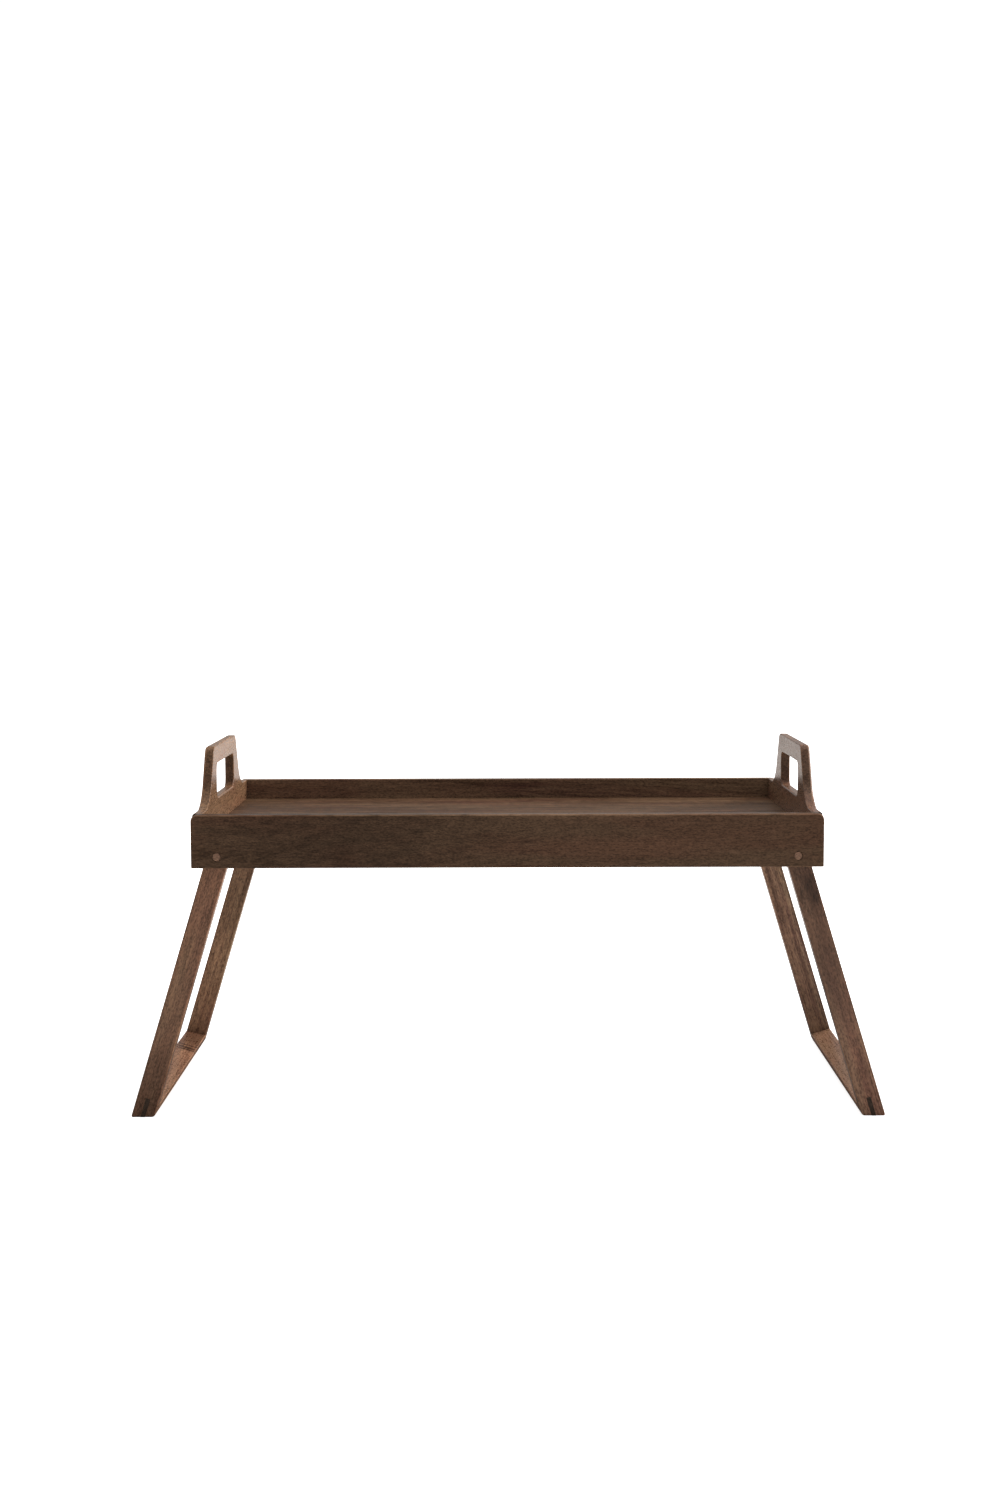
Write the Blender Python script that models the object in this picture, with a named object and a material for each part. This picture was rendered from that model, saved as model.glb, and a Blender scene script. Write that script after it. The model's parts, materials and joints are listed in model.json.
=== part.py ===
"""Folding tray table: a wooden tray with two handles, on two leg frames that fold up under it.

Metres, +Z up. The origin is on the ground under the middle of the tray, +X runs along the tray
and -Y is the front. The legs stand open, each frame resting on the lower edge of its end board.
"""
import math

import bmesh
import bpy
from mathutils import Matrix, Vector

# Tray
TRAY_LENGTH = 0.600
TRAY_DEPTH = 0.360
RAIL_TOP = 0.2945           # height of the rim above the ground
RAIL_HEIGHT = 0.051
RAIL_THICKNESS = 0.0115
RAIL_TOP_CORNER = 0.006     # radius of a rail's two upper corners
RAIL_BOTTOM_CORNER = 0.0012
OUTER_ROUND = 0.003         # radius worked on the outer upper edges
FINE_ROUND = 0.001          # radius left by sanding on the other edges

# End boards and their handles
END_THICKNESS = 0.0095
HANDLE_RISE = 0.057         # handle above the rim
HANDLE_TOP_HALF = 0.080     # half the width at the handle's top
HANDLE_SIDE_RUN = 0.034     # how far each side spreads from the top down to the rim
HANDLE_CORNER = 0.011
FLARE_RADIUS = 0.045        # hollow curve from the handle's side into the rim
HOLE_HALF_WIDTH = 0.0625
HOLE_LOW = 0.004            # hand hole, above the rim
HOLE_HIGH = 0.0385
HOLE_CORNER = 0.009
HOLE_ROUND = 0.0016         # rounding of the hand hole's edges

# Floor panel and joinery
FLOOR_DROP = 0.021          # rim down to the floor
FLOOR_THICKNESS = 0.006
TONGUE_THICKNESS = 0.003
TONGUE_DEPTH = 0.004
END_TONGUE_THICKNESS = 0.004
END_TONGUE_MARGIN = 0.006   # the end board's tongue stops this far inside the rail's edges

# Leg frames
LEG_LEAN = math.radians(16.8)
LEG_WIDTH = 0.0218
LEG_THICKNESS = 0.0155
PIVOT_ABOVE_RAIL = 0.0107   # pivot axis above the rails' lower edge
CROSSPIECE_DEPTH = 0.0129   # along the leg, at the middle of its width
FOOT_OUTER_CORNER = 0.0015
FOOT_INNER_CORNER = 0.0028
KEY_LENGTH = 0.019
KEY_THICKNESS = 0.0042

# Pivots
DOWEL_RADIUS = 0.004
DOWEL_SETBACK = 0.0007      # the dowel ends this far inside the leg's inner face
WASHER_RADIUS = 0.008
WASHER_THICKNESS = 0.0016
ROUND_SIDES = 32

GAP = 0.0003                # clearance between pieces that touch
OVERCUT = 0.004             # how far a cutter runs past the face that it opens

RAIL_BOTTOM = RAIL_TOP - RAIL_HEIGHT
RAIL_INSIDE = TRAY_DEPTH / 2 - RAIL_THICKNESS
END_INSIDE = TRAY_LENGTH / 2 - END_THICKNESS
FLOOR_TOP = RAIL_TOP - FLOOR_DROP
FLOOR_BOTTOM = FLOOR_TOP - FLOOR_THICKNESS

# The open frame leans until its outer face meets the lower inner edge of the end board.
PIVOT_Z = RAIL_BOTTOM + PIVOT_ABOVE_RAIL
PIVOT_X = (END_INSIDE - GAP - LEG_WIDTH / 2 / math.cos(LEG_LEAN)
           - PIVOT_ABOVE_RAIL * math.tan(LEG_LEAN))
LEG_LENGTH = PIVOT_Z / math.cos(LEG_LEAN)                 # pivot to ground along the leg's middle
FOOT_SLANT = LEG_WIDTH / 2 * math.tan(LEG_LEAN)           # how the slanted foot differs at its edges
LEG_OUTSIDE = RAIL_INSIDE - WASHER_THICKNESS - 2 * GAP    # outer face of a leg, from the middle
LEG_INSIDE = LEG_OUTSIDE - LEG_THICKNESS

# Directions in which a flat outline (u, v) is laid and then given its thickness w
UPRIGHT_ALONG_X = Matrix(((1, 0, 0), (0, 0, 1), (0, 1, 0))).to_4x4()
UPRIGHT_ALONG_Y = Matrix(((0, 0, 1), (1, 0, 0), (0, 1, 0))).to_4x4()


def clear_scene():
    for item in list(bpy.data.objects):
        bpy.data.objects.remove(item, do_unlink=True)


def linear(value):
    value = value / 255
    return value / 12.92 if value <= 0.04045 else ((value + 0.055) / 1.055) ** 2.4


def finish_material(name, colour, roughness):
    """Principled material with a colour given as 8-bit sRGB."""
    material = bpy.data.materials.new(name + "_finish")
    material.use_nodes = True
    shader = material.node_tree.nodes["Principled BSDF"]
    shader.inputs["Base Color"].default_value = [linear(value) for value in colour] + [1.0]
    shader.inputs["Roughness"].default_value = roughness
    shader.inputs["Metallic"].default_value = 0.0
    return material


def place(name, bm, colour, roughness=0.5, parent=None):
    """Turn a bmesh into a named object with smooth round faces and its own material."""
    bmesh.ops.recalc_face_normals(bm, faces=bm.faces)
    mesh = bpy.data.meshes.new(name)
    bm.to_mesh(mesh)
    bm.free()
    mesh.shade_smooth()
    mesh.set_sharp_from_angle(angle=math.radians(35))
    mesh.materials.append(finish_material(name, colour, roughness))
    item = bpy.data.objects.new(name, mesh)
    item.parent = parent
    bpy.context.scene.collection.objects.link(item)
    return item


def cutter(name, bm, parent=None):
    """A shape that is only used to cut other pieces."""
    item = place(name, bm, (200, 60, 60), parent=parent)
    item.hide_render = True
    item.display_type = "WIRE"
    return item


def boolean(item, other, operation="DIFFERENCE"):
    step = item.modifiers.new(operation.lower() + "_" + other.name, "BOOLEAN")
    step.operation = operation
    step.object = other


def rounded_outline(corners, steps=5):
    """Closed outline through (u, v, radius) corners, each rounded with an arc of that radius."""
    points = []
    for index, (u, v, radius) in enumerate(corners):
        corner = Vector((u, v))
        if radius == 0:
            points.append(corner)
            continue
        before = (Vector(corners[index - 1][:2]) - corner).normalized()
        after = (Vector(corners[(index + 1) % len(corners)][:2]) - corner).normalized()
        half = before.angle(after) / 2
        centre = corner + (before + after).normalized() * radius / math.sin(half)
        start = corner + before * radius / math.tan(half) - centre
        end = corner + after * radius / math.tan(half) - centre
        sweep = start.angle_signed(end)
        for step in range(steps + 1):
            turned = start.copy()
            turned.rotate(Matrix.Rotation(-sweep * step / steps, 2))
            if not points or (centre + turned - points[-1]).length > 1e-5:
                points.append(centre + turned)
    return points


def prism(outline, lay, low, high):
    """Solid with a flat outline, laid by the matrix `lay`, from w = low to w = high."""
    bm = bmesh.new()
    ring = [bm.verts.new((point.x, point.y, low)) for point in outline]
    base = bm.faces.new(ring)
    grown = bmesh.ops.extrude_face_region(bm, geom=[base])
    top = [vert for vert in grown["geom"] if isinstance(vert, bmesh.types.BMVert)]
    bmesh.ops.translate(bm, verts=top, vec=(0, 0, high - low))
    bmesh.ops.transform(bm, matrix=lay, verts=bm.verts)
    return bm


def box(low, high):
    bm = bmesh.new()
    bmesh.ops.create_cube(bm, size=1.0)
    size = [high[axis] - low[axis] for axis in range(3)]
    middle = [(high[axis] + low[axis]) / 2 for axis in range(3)]
    bmesh.ops.scale(bm, vec=size, verts=bm.verts)
    bmesh.ops.translate(bm, vec=middle, verts=bm.verts)
    return bm


def loft(rings):
    """Solid through a row of rings that all have the same number of points."""
    bm = bmesh.new()
    rows = [[bm.verts.new(point) for point in ring] for ring in rings]
    count = len(rows[0])
    for first, second in zip(rows, rows[1:]):
        for index in range(count):
            after = (index + 1) % count
            bm.faces.new((first[index], first[after], second[after], second[index]))
    bm.faces.new(rows[0])
    bm.faces.new(rows[-1])
    return bm


def round_edges(bm, chosen, radius, segments):
    """Round the edges for which chosen(middle, direction) is true."""
    edges = []
    for edge in bm.edges:
        start, end = edge.verts[0].co, edge.verts[1].co
        if chosen((start + end) / 2, (end - start).normalized()):
            edges.append(edge)
    bmesh.ops.bevel(bm, geom=edges, offset=radius, segments=segments, profile=0.5, affect="EDGES")


def cut_flat(bm, point, normal):
    """Cut off everything on the normal's side of a plane and close the cut."""
    parts = bm.verts[:] + bm.edges[:] + bm.faces[:]
    cut = bmesh.ops.bisect_plane(bm, geom=parts, plane_co=point, plane_no=normal, clear_outer=True)
    edges = [part for part in cut["geom_cut"] if isinstance(part, bmesh.types.BMEdge)]
    bmesh.ops.edgeloop_fill(bm, edges=edges)


def cylinder(radius, low, high, x, z):
    """Round bar along Y."""
    bm = bmesh.new()
    bmesh.ops.create_cone(bm, cap_ends=True, segments=ROUND_SIDES, radius1=radius, radius2=radius,
                          depth=high - low)
    bmesh.ops.rotate(bm, verts=bm.verts, matrix=Matrix.Rotation(math.pi / 2, 3, "X"))
    bmesh.ops.translate(bm, verts=bm.verts, vec=(x, (low + high) / 2, z))
    return bm


# ---- tray ----

def floor_panel():
    """Thin panel; its lower half runs on as a tongue into the grooves of the four boards."""
    half_x, half_y = END_INSIDE + TONGUE_DEPTH, RAIL_INSIDE + TONGUE_DEPTH
    bm = box((-half_x, -half_y, FLOOR_BOTTOM), (half_x, half_y, FLOOR_BOTTOM + TONGUE_THICKNESS))
    top = [face for face in bm.faces if face.normal.z > 0.5]
    bmesh.ops.inset_region(bm, faces=top, thickness=TONGUE_DEPTH + GAP, use_even_offset=True)
    raised = bmesh.ops.extrude_face_region(bm, geom=top)
    bmesh.ops.delete(bm, geom=top, context="FACES")
    verts = [part for part in raised["geom"] if isinstance(part, bmesh.types.BMVert)]
    bmesh.ops.translate(bm, verts=verts, vec=(0, 0, FLOOR_THICKNESS - TONGUE_THICKNESS))
    return place("floor_panel", bm, (112, 92, 80), 0.42)


def floor_groove_cutter():
    half_x, half_y = END_INSIDE + TONGUE_DEPTH + GAP, RAIL_INSIDE + TONGUE_DEPTH + GAP
    low, high = FLOOR_BOTTOM - GAP, FLOOR_BOTTOM + TONGUE_THICKNESS + GAP
    return cutter("cut_floor_groove", box((-half_x, -half_y, low), (half_x, half_y, high)))


def rail(name, end, groove, colour):
    """Long board; end is -1 for the front and +1 for the back."""
    half = TRAY_LENGTH / 2
    outline = rounded_outline((
        (-half, RAIL_BOTTOM, RAIL_BOTTOM_CORNER), (half, RAIL_BOTTOM, RAIL_BOTTOM_CORNER),
        (half, RAIL_TOP, RAIL_TOP_CORNER), (-half, RAIL_TOP, RAIL_TOP_CORNER)))
    bm = prism(outline, UPRIGHT_ALONG_X, RAIL_INSIDE, TRAY_DEPTH / 2)
    outer, waist = TRAY_DEPTH / 2 - 1e-5, RAIL_BOTTOM + RAIL_HEIGHT / 2
    round_edges(bm, lambda mid, way: mid.y > outer and mid.z > waist and abs(way.z) < 0.99,
                OUTER_ROUND, 4)
    round_edges(bm, lambda mid, way: mid.y < RAIL_INSIDE + 1e-5 and mid.z > RAIL_TOP - 1e-5,
                FINE_ROUND, 2)
    if end < 0:
        bmesh.ops.scale(bm, vec=(1, -1, 1), verts=bm.verts)
    item = place(name, bm, colour, 0.45)
    boolean(item, groove)
    for side in (-1, 1):
        boolean(item, end_tongue(f"cut_{name}_{side}", side, end, GAP))
        hole = cylinder(DOWEL_RADIUS + GAP, RAIL_INSIDE - OVERCUT, TRAY_DEPTH / 2 + OVERCUT,
                        side * PIVOT_X, PIVOT_Z)
        if end < 0:
            bmesh.ops.scale(hole, vec=(1, -1, 1), verts=hole.verts)
        boolean(item, cutter(f"cut_{name}_pivot_{side}", hole))
    return item


def end_tongue(name, side, end, grow):
    """The tongue of an end board where it enters a rail, or its socket when grown by the gap."""
    middle = TRAY_LENGTH / 2 - END_THICKNESS / 2
    x = sorted((side * (middle - END_TONGUE_THICKNESS / 2 - grow),
                side * (middle + END_TONGUE_THICKNESS / 2 + grow)))
    y = sorted((end * (RAIL_INSIDE - OVERCUT), end * (RAIL_INSIDE + TONGUE_DEPTH + grow)))
    low = RAIL_BOTTOM + END_TONGUE_MARGIN - grow
    high = RAIL_TOP - END_TONGUE_MARGIN * 1.5 + grow
    return cutter(name, box((x[0], y[0], low), (x[1], y[1], high)))


def hand_hole_cutter(name, side):
    """Hand hole with its edges opened out in a quarter round on both faces of the board."""
    rings = []
    steps = 3
    spread = [(HOLE_ROUND * (1 - math.cos(math.pi / 2 * step / steps)),
               HOLE_ROUND * math.sin(math.pi / 2 * step / steps)) for step in range(steps + 1)]
    inside, outside = END_INSIDE, TRAY_LENGTH / 2
    places = [(inside - OVERCUT, HOLE_ROUND)]
    places += [(inside + HOLE_ROUND - deep, wide) for wide, deep in reversed(spread)]
    places += [(outside - HOLE_ROUND + deep, wide) for wide, deep in spread]
    places += [(outside + OVERCUT, HOLE_ROUND)]
    for x, wide in places:
        half, low, high = HOLE_HALF_WIDTH + wide, RAIL_TOP + HOLE_LOW - wide, RAIL_TOP + HOLE_HIGH + wide
        radius = HOLE_CORNER + wide
        ring = rounded_outline(((-half, low, radius), (half, low, radius),
                                (half, high, radius), (-half, high, radius)))
        rings.append([(side * x, point.x, point.y) for point in ring])
    return cutter(name, loft(rings))


def end_board(name, side, groove, colour):
    """Board with its handle in one piece; side is -1 for the left and +1 for the right."""
    half = RAIL_INSIDE - GAP
    top = RAIL_TOP + HANDLE_RISE
    spread = HANDLE_TOP_HALF + HANDLE_SIDE_RUN
    outline = rounded_outline((
        (-half, RAIL_BOTTOM, 0), (half, RAIL_BOTTOM, 0), (half, RAIL_TOP, 0),
        (spread, RAIL_TOP, FLARE_RADIUS), (HANDLE_TOP_HALF, top, HANDLE_CORNER),
        (-HANDLE_TOP_HALF, top, HANDLE_CORNER), (-spread, RAIL_TOP, FLARE_RADIUS),
        (-half, RAIL_TOP, 0)), steps=8)
    bm = prism(outline, UPRIGHT_ALONG_Y, END_INSIDE, TRAY_LENGTH / 2)
    outer = TRAY_LENGTH / 2 - 1e-5
    round_edges(bm, lambda mid, way: mid.x > outer and mid.z > RAIL_TOP - 1e-5, OUTER_ROUND, 4)
    round_edges(bm, lambda mid, way: mid.x < END_INSIDE + 1e-5 and mid.z > RAIL_TOP - 1e-5,
                FINE_ROUND, 2)
    if side < 0:
        bmesh.ops.scale(bm, vec=(-1, 1, 1), verts=bm.verts)
    item = place(name, bm, colour, 0.5)
    for end in (-1, 1):
        boolean(item, end_tongue(f"add_{name}_tongue_{end}", side, end, 0), "UNION")
    boolean(item, groove)
    boolean(item, hand_hole_cutter(f"cut_{name}_hand_hole", side))
    return item


# ---- leg frames, modelled about the pivot: -Z runs down the leg, +X points outwards ----

def foot_height(x):
    """Where the ground lies under a point x across the leg's width."""
    return -(LEG_LENGTH + x * math.tan(LEG_LEAN))


def mitre_plane(end):
    """A point on the mitre between leg and crosspiece, and the normal towards the crosspiece."""
    run = LEG_THICKNESS
    rise = CROSSPIECE_DEPTH + FOOT_SLANT
    normal = Vector((0, -end * rise, -run)).normalized()
    return Vector((0, end * LEG_INSIDE, CROSSPIECE_DEPTH - LEG_LENGTH)), normal


def key_solid(end, grow, past):
    """Triangular corner key, or its slot when grown by the gap and run past the faces."""
    half = KEY_THICKNESS / 2 + grow
    low = -LEG_LENGTH - FOOT_SLANT - past
    reach = KEY_LENGTH + FOOT_SLANT + grow * math.sqrt(2) + past
    outline = [Vector((LEG_OUTSIDE + past, low)),
               Vector((LEG_OUTSIDE + past, low + reach + past)),
               Vector((LEG_OUTSIDE - reach, low))]
    bm = prism(outline, UPRIGHT_ALONG_Y, -half, half)
    bmesh.ops.scale(bm, vec=(1, end, 1), verts=bm.verts)
    return bm


def leg(name, end, frame, colour):
    """Leg with a round head about the pivot, mitred at the foot."""
    half = LEG_WIDTH / 2
    outline = rounded_outline((
        (-half, foot_height(-half), FOOT_INNER_CORNER), (half, foot_height(half), FOOT_OUTER_CORNER),
        (half, half, half), (-half, half, half)), steps=8)
    bm = prism(outline, UPRIGHT_ALONG_X, LEG_INSIDE, LEG_OUTSIDE)
    round_edges(bm, lambda mid, way: abs(way.y) < 0.5, FINE_ROUND, 2)
    bmesh.ops.scale(bm, vec=(1, end, 1), verts=bm.verts)
    point, normal = mitre_plane(end)
    cut_flat(bm, point - normal * GAP / 2, normal)
    item = place(name, bm, colour, 0.5, frame)
    hole = cylinder(DOWEL_RADIUS + GAP, LEG_INSIDE - OVERCUT, LEG_OUTSIDE + OVERCUT, 0, 0)
    bmesh.ops.scale(hole, vec=(1, end, 1), verts=hole.verts)
    boolean(item, cutter("cut_" + name + "_pivot", hole, frame))
    boolean(item, cutter("cut_" + name + "_key", key_solid(end, GAP, OVERCUT), frame))
    return item


def crosspiece(name, frame, colour):
    """Foot bar between two legs, cut flat on the ground and mitred at both ends."""
    half = LEG_WIDTH / 2
    top = CROSSPIECE_DEPTH - LEG_LENGTH
    outline = rounded_outline((
        (-half, foot_height(-half), FOOT_INNER_CORNER), (half, foot_height(half), FOOT_OUTER_CORNER),
        (half, top, FINE_ROUND), (-half, top, FINE_ROUND)), steps=4)
    bm = prism(outline, UPRIGHT_ALONG_X, -LEG_OUTSIDE, LEG_OUTSIDE)
    for end in (-1, 1):
        point, normal = mitre_plane(end)
        cut_flat(bm, point + normal * GAP / 2, -normal)
    item = place(name, bm, colour, 0.5, frame)
    for end in (-1, 1):
        boolean(item, cutter(f"cut_{name}_key_{end}", key_solid(end, GAP, OVERCUT), frame))
    return item


def corner_key(name, end, frame):
    bm = key_solid(end, 0, 0)
    down = Vector((-math.sin(LEG_LEAN), 0, -math.cos(LEG_LEAN)))
    cut_flat(bm, Vector((0, 0, -LEG_LENGTH)), down)
    return place(name, bm, (46, 35, 28), 0.55, frame)


def leg_frame(side, colour):
    """Two legs, a crosspiece and two keys on an empty at the pivot axis."""
    label = "left" if side < 0 else "right"
    frame = bpy.data.objects.new(label + "_leg_pivot", None)
    frame.location = (side * PIVOT_X, 0, PIVOT_Z)
    frame.rotation_euler = (0, -LEG_LEAN, math.pi if side < 0 else 0)
    bpy.context.scene.collection.objects.link(frame)
    for end in (-1, 1):
        place_name = label + ("_front" if end * side < 0 else "_back")
        leg(place_name + "_leg", end, frame, colour)
        corner_key(place_name + "_corner_key", end, frame)
    crosspiece(label + "_crosspiece", frame, colour)


# ---- pivots ----

def pivot_dowel(name, side, end):
    """Round pin glued in the rail, on which the leg turns."""
    bm = cylinder(DOWEL_RADIUS, LEG_INSIDE + DOWEL_SETBACK, TRAY_DEPTH / 2, side * PIVOT_X, PIVOT_Z)
    round_edges(bm, lambda mid, way: abs(way.y) < 0.5, 0.0004, 1)
    bmesh.ops.scale(bm, vec=(1, end, 1), verts=bm.verts)
    return place(name, bm, (98, 80, 70), 0.6)


def spacer_washer(name, side, end):
    """Thin ring on the dowel between rail and leg."""
    low, high = LEG_OUTSIDE + GAP, LEG_OUTSIDE + GAP + WASHER_THICKNESS
    rings = []
    for radius, y in ((WASHER_RADIUS, low), (WASHER_RADIUS, high),
                      (DOWEL_RADIUS + GAP, high), (DOWEL_RADIUS + GAP, low)):
        rings.append([(side * PIVOT_X + radius * math.cos(turn), end * y, PIVOT_Z + radius * math.sin(turn))
                      for turn in (2 * math.pi * step / ROUND_SIDES for step in range(ROUND_SIDES))])
    bm = bmesh.new()
    rows = [[bm.verts.new(point) for point in ring] for ring in rings]
    for index, row in enumerate(rows):
        following = rows[(index + 1) % len(rows)]
        for step in range(ROUND_SIDES):
            after = (step + 1) % ROUND_SIDES
            bm.faces.new((row[step], row[after], following[after], following[step]))
    return place(name, bm, (38, 32, 28), 0.6)


def main():
    clear_scene()
    groove = floor_groove_cutter()
    floor_panel()
    rail("front_rail", -1, groove, (68, 50, 40))
    rail("back_rail", 1, groove, (72, 52, 41))
    end_board("left_end_board", -1, groove, (140, 106, 84))
    end_board("right_end_board", 1, groove, (112, 88, 72))
    leg_frame(-1, (107, 80, 63))
    leg_frame(1, (100, 74, 60))
    for side, side_name in ((-1, "left"), (1, "right")):
        for end, end_name in ((-1, "front"), (1, "back")):
            pivot_dowel(f"{side_name}_{end_name}_pivot_dowel", side, end)
            spacer_washer(f"{side_name}_{end_name}_spacer_washer", side, end)


main()
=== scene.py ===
import bmesh
import bpy
import json
import math
from mathutils import Matrix, Vector


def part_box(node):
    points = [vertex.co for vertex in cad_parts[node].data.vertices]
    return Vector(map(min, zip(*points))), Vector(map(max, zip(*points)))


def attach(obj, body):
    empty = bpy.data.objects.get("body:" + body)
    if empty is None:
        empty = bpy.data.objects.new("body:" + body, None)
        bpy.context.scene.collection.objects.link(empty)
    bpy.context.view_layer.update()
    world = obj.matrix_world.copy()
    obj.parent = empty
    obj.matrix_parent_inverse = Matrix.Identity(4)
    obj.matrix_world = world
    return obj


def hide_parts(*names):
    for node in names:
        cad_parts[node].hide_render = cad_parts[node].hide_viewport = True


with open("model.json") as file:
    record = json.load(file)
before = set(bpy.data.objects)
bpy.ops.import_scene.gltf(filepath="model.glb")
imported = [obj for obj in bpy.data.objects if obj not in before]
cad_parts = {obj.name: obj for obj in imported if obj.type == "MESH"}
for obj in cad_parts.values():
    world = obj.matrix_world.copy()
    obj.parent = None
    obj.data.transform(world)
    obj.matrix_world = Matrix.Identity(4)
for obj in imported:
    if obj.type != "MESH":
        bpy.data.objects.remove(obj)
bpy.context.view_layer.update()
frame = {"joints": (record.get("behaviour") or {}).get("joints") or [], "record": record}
print("frame loaded")

# places of the boards, read from the frame

railLow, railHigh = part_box("back_rail")
boardLow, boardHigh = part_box("right_end_board")
panelLow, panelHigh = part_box("floor_panel")
legLow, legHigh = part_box("right_back_leg")
dowelLow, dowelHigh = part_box("right_back_pivot_dowel")
washerLow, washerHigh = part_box("right_back_spacer_washer")
mounts = {mount["name"]: Vector(mount["pos_m"]) for mount in frame["record"]["mounts"]}
hinges = {joint["child"]: Vector(joint["pos_m"]) for joint in frame["joints"]}

pivot = hinges["right_leg_frame"]
legLean = math.atan2(mounts["right_foot"].x - pivot.x, pivot.z)
legLength = pivot.z / math.cos(legLean)      # pivot to ground, along the leg's middle
railMiddleZ = (railLow.z + railHigh.z) / 2
panelTongueTop = panelLow.z + (panelHigh.z - panelLow.z) / 2
dowelRadius = (dowelHigh.x - dowelLow.x) / 2

touching = 0.00001                       # two places closer than this are the same
closeBy = 0.0001
overshoot = 0.01                         # how far a cutter stands out of what it cuts


# modelling steps

def startClean():
    if bpy.context.object and bpy.context.object.mode != "OBJECT":
        bpy.ops.object.mode_set(mode="OBJECT")
    bpy.ops.object.select_all(action="DESELECT")


def takeUp(piece):
    startClean()
    piece.select_set(True)
    bpy.context.view_layer.objects.active = piece


def named(name):
    piece = bpy.context.object
    piece.name = name
    piece.data.name = name
    return piece


def applyPlace(piece):
    takeUp(piece)
    bpy.ops.object.transform_apply(location=True, rotation=True, scale=True)


def addBlock(name, low, high):
    startClean()
    low, high = Vector(low), Vector(high)
    bpy.ops.mesh.primitive_cube_add(size=1, location=(low + high) / 2, scale=high - low)
    block = named(name)
    applyPlace(block)
    return block


def addBar(name, radius, low, high, x, z, sides=64):   # round bar along Y
    startClean()
    bpy.ops.mesh.primitive_cylinder_add(vertices=sides, radius=radius, depth=high - low,
                                        location=(x, (low + high) / 2, z), rotation=(math.pi / 2, 0, 0))
    bar = named(name)
    applyPlace(bar)
    return bar


def edit(piece, kind="EDGE"):
    takeUp(piece)
    bpy.ops.object.mode_set(mode="EDIT")
    bpy.ops.mesh.select_mode(type=kind)
    bpy.ops.mesh.select_all(action="DESELECT")
    return bmesh.from_edit_mesh(piece.data)


def pickEdges(piece, wanted):            # wanted(middle, direction)
    mesh = edit(piece)
    for edge in mesh.edges:
        first, last = edge.verts[0].co, edge.verts[1].co
        if wanted((first + last) / 2, (last - first).normalized()):
            edge.select_set(True)
    bmesh.update_edit_mesh(piece.data)


def pickFaces(piece, wanted):            # wanted(middle, normal)
    mesh = edit(piece, "FACE")
    for face in mesh.faces:
        if wanted(face.calc_center_median(), face.normal):
            face.select_set(True)
    bmesh.update_edit_mesh(piece.data)


def roundCorner(piece, wanted, width, steps):
    pickEdges(piece, wanted)
    bpy.ops.mesh.bevel(offset=width, segments=steps, profile=0.5, affect="EDGES", clamp_overlap=True)
    bpy.ops.object.mode_set(mode="OBJECT")


def cutFlat(piece, point, normal):       # cuts off what lies on the normal's side
    edit(piece, "VERT")
    bpy.ops.mesh.select_all(action="SELECT")
    bpy.ops.mesh.bisect(plane_co=point, plane_no=normal, use_fill=True, clear_outer=True)
    bpy.ops.object.mode_set(mode="OBJECT")


def cutOut(piece, cutter):
    step = piece.modifiers.new("cut", "BOOLEAN")
    step.operation = "DIFFERENCE"
    step.object = cutter
    takeUp(piece)
    bpy.ops.object.modifier_apply(modifier="cut")
    bpy.data.objects.remove(cutter, do_unlink=True)


def easeEdges(piece, radius, weights, steps=4):
    # weights are pairs: wanted(middle, way), and a share of the radius or a function of the middle
    sharpAngle = 0.3
    mesh = edit(piece)
    layer = mesh.edges.layers.float.new("bevel_weight_edge")
    for edge in mesh.edges:
        first, last = edge.verts[0].co, edge.verts[1].co
        middle, way = (first + last) / 2, (last - first).normalized()
        share = next((share for wanted, share in weights if wanted(middle, way)), 0)
        if edge.calc_face_angle(0) > sharpAngle:
            edge[layer] = share(middle) if callable(share) else share
    bmesh.update_edit_mesh(piece.data)
    bpy.ops.object.mode_set(mode="OBJECT")
    step = piece.modifiers.new("ease", "BEVEL")
    step.limit_method = "WEIGHT"
    step.width = radius
    step.segments = steps
    step.use_clamp_overlap = False
    takeUp(piece)
    bpy.ops.object.modifier_apply(modifier="ease")


def copyOf(piece, name):
    takeUp(piece)
    bpy.ops.object.duplicate(linked=False)
    return named(name)


def mirrorOver(piece, axis):
    takeUp(piece)
    piece.scale[axis] = -1
    bpy.ops.object.transform_apply(location=False, rotation=False, scale=True)
    edit(piece)
    bpy.ops.mesh.select_all(action="SELECT")
    bpy.ops.mesh.normals_make_consistent(inside=False)
    bpy.ops.object.mode_set(mode="OBJECT")


def finishPiece(piece, body, node, material):
    smoothAngle = math.radians(32)
    takeUp(piece)
    bpy.ops.object.shade_smooth_by_angle(angle=smoothAngle)
    step = piece.modifiers.new("normals", "WEIGHTED_NORMAL")
    step.keep_sharp = True
    bpy.ops.object.modifier_apply(modifier="normals")
    piece.data.materials.clear()
    piece.data.materials.append(material)
    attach(piece, body)
    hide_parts(node)


# shader helpers

def addNode(tree, kind, **values):
    node = tree.nodes.new(kind)
    for key, value in values.items():
        setattr(node, key, value)
    return node


def feed(tree, node, **sources):         # a source is a socket or a plain value; _ stands for a space
    for key, source in sources.items():
        name = key.replace("_", " ")
        numbered = name[0] == "n" and name[1:].isdigit()     # n0, n1 and so on count the sockets
        socket = node.inputs[int(name[1:])] if numbered else node.inputs[name]
        if isinstance(source, bpy.types.NodeSocket):
            tree.links.new(source, socket)
        else:
            socket.default_value = source


def calculate(tree, operation, first, second=0.0, clamp=False):
    node = addNode(tree, "ShaderNodeMath", operation=operation, use_clamp=clamp)
    feed(tree, node, n0=first, n1=second)
    return node.outputs[0]


def plus(tree, first, second, clamp=False):
    return calculate(tree, "ADD", first, second, clamp)


def minus(tree, first, second, clamp=False):
    return calculate(tree, "SUBTRACT", first, second, clamp)


def times(tree, first, second):
    return calculate(tree, "MULTIPLY", first, second)


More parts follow.
